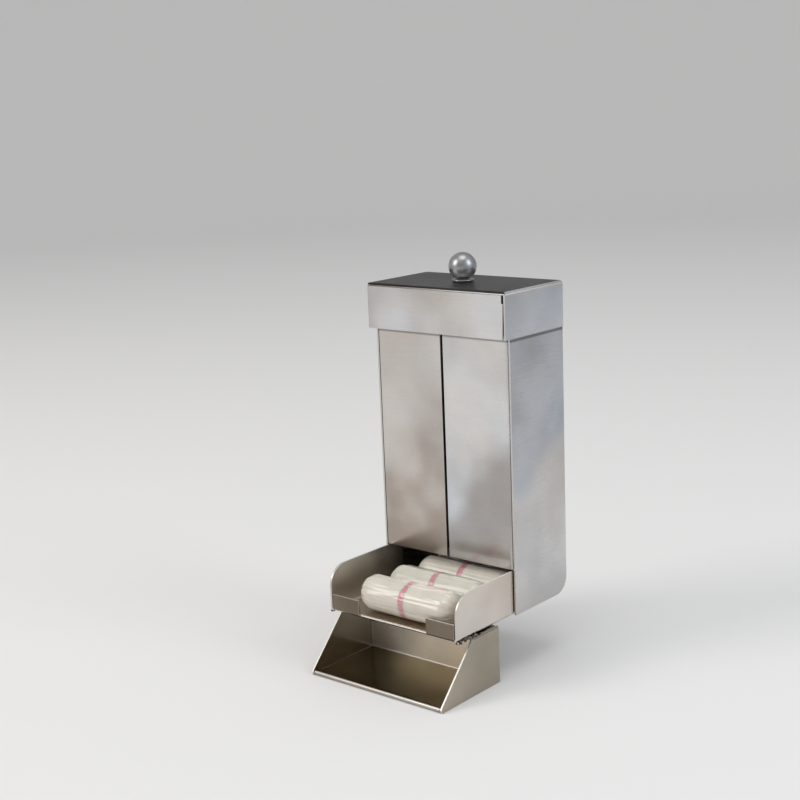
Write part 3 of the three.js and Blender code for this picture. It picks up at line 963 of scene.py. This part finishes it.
def clinging_film(name, pale, deep, seed, cotton_scale, ragged_edge=None):
    """Thin glossy film over cotton: uneven inner tone, long creases painted lighter and darker
    as painted sheen and shade, faint green and pink painted reflections, uneven gloss.
    """
    film, tree, shader = new_material(name, {
        "Subsurface Weight": 0.4, "Subsurface Radius": (1.0, 0.82, 0.62),
        "Subsurface Scale": 0.003, "Coat Weight": 0.8, "Coat Roughness": 0.17})
    place = add_node(tree, "ShaderNodeTexCoord").outputs["Object"]
    drawn = output_of(tree, "ShaderNodeMapping", {"Vector": place, "Scale": (10, 170, 170)})
    creases = noise(tree, drawn, roughness=0.4, seed=seed)
    cotton = noise(tree, place, cotton_scale, detail=3, roughness=0.6, seed=seed)
    tone = blended(tree, from_noise(tree, cotton, reach=0.15), deep, pale)
    # the faint green and pink tints are painted reflections, and the crease tone is painted
    # sheen and shade
    tint = blended(
        tree, from_noise(tree, noise(tree, drawn, scale=0.45, seed=seed + 5), reach=0.12),
        (0.965, 1, 0.97, 1), (1.015, 0.985, 0.975, 1))
    tone = tinted(tree, tinted(tree, tone, tint), from_noise(tree, creases, 0.93, 1.05))
    if ragged_edge:
        across = add_node(tree, "ShaderNodeAttribute", attribute_name="across").outputs["Fac"]
        ragged = reckon(tree, "MULTIPLY_ADD", creases, 0.6, reckon(tree, "ABSOLUTE", across))
        tone = blended(tree, remap(tree, ragged, 1, 1.32), tone, ragged_edge)
    lead(tree, shader, {
        "Base Color": tone, "Roughness": from_noise(tree, creases, 0.38, 0.22, reach=0.15),
        "Normal": raised(tree, creases, strength=0.7, depth=0.00016)})
    return film


cream_film = clinging_film(
    "cream_film", (0.668, 0.634, 0.556, 1), (0.615, 0.580, 0.502, 1), 2.0, 170.0)
# each tampon's body, and the turn at which its film laps
tampons = {
    "front": ("tampon_1", 2.2), "middle": ("tampon_2", 1.5), "rear": ("tampon_3", 2.7),
    "waiting": ("tampon_4", 1.9)}
tampon_middles = {}
for order, (place, (body, lap_turn)) in enumerate(tampons.items()):
    low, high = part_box(place + "_tampon")
    tampon_middles[place] = (low + high) / 2
    tampon = grown_piece(place + "_wrapped_tampon", wrapped_tampon, {
        "Centre": tampon_middles[place], "Half Length": (high.x - low.x) / 2 - film_inset,
        "Lap Turn": lap_turn, "Seed": seed_step * order, "Film": cream_film})
    fit(tampon, place + "_tampon", body)


# Tear strips: a narrow pink tape of thin film stuck round each wrapper, as glossy as
# the wrapper itself. Pulled, it opens the wrapper. Its edges are never quite even.
sway_row = 4
tape_weld = 0.000002

tear_strip, given, result = new_group(
    "tear strip", "GeometryNodeTree",
    {"Centre": "Vector", "Offset": "Float", "Width": "Float", "Thickness": 0.00005,
     "Narrowest": 0.52, "Widest": 0.92, "Edge Waves": 2.1, "Sway": 0.0003,
     "Sway Waves": 0.9, "Lap Turn": "Float", "Steps Across": 20,
     "Steps Round": steps_round, "Seed": 0.0, "Tape": "Material"},
    ["Geometry"])
tree = tear_strip
flat = output_of(
    tree, "GeometryNodeMeshGrid",
    {"Size X": 2 * math.pi, "Size Y": 2 * math.pi, "Vertices X": given["Steps Across"],
     "Vertices Y": given["Steps Round"]})
spot = parted(tree, output_of(tree, "GeometryNodeInputPosition"))
across = reckon(tree, "COSINE", spot["X"])
edge_place = round_axis(tree, reckon(tree, "SIGN", across), given["Edge Waves"], spot["Y"])
wander = noise(tree, edge_place, detail=3, roughness=0.7, seed=given["Seed"])
width_share = from_noise(tree, wander, given["Narrowest"], given["Widest"])
sway_place = round_axis(tree, sway_row, given["Sway Waves"], spot["Y"])
swayed = from_noise(
    tree, noise(tree, sway_place, seed=given["Seed"]), times(tree, given["Sway"], -1),
    given["Sway"])
along = plus(
    tree, given["Offset"], swayed, times(tree, given["Width"], 0.5, width_share, across))
film = output_of(
    tree, "GeometryNodeGroup",
    {"Along": along, "Turn": spot["Y"], "Lap Turn": given["Lap Turn"], "Seed": given["Seed"]},
    node_tree=film_surface)
spread = plus(tree, film, times(tree, given["Thickness"], reckon(tree, "SINE", spot["X"])))
marked = output_of(
    tree, "GeometryNodeStoreNamedAttribute",
    {"Geometry": flat, "Name": "across", "Value": across}, data_type="FLOAT", domain="POINT")
shaped = round_axis(tree, along, spread, spot["Y"])
closed = laid_sheet(tree, marked, shaped, given["Centre"], tape_weld)
close_tree(tree, result, closed, given["Tape"])

pink_tape = clinging_film(
    "pink_tape", (0.835, 0.405, 0.405, 1), (0.770, 0.235, 0.258, 1), 9.0, 620.0,
    ragged_edge=(0.740, 0.600, 0.560, 1))
for order, (place, (body, lap_turn)) in enumerate(tampons.items()):
    low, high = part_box(place + "_tear_strip")
    middle = tampon_middles[place]
    strip = grown_piece(place + "_pull_tape", tear_strip, {
        "Centre": middle, "Offset": (low.x + high.x) / 2 - middle.x, "Width": high.x - low.x,
        "Lap Turn": lap_turn, "Seed": seed_step * order, "Tape": pink_tape})
    fit(strip, place + "_tear_strip", body)

bpy.context.scene.view_settings.view_transform = "Standard"
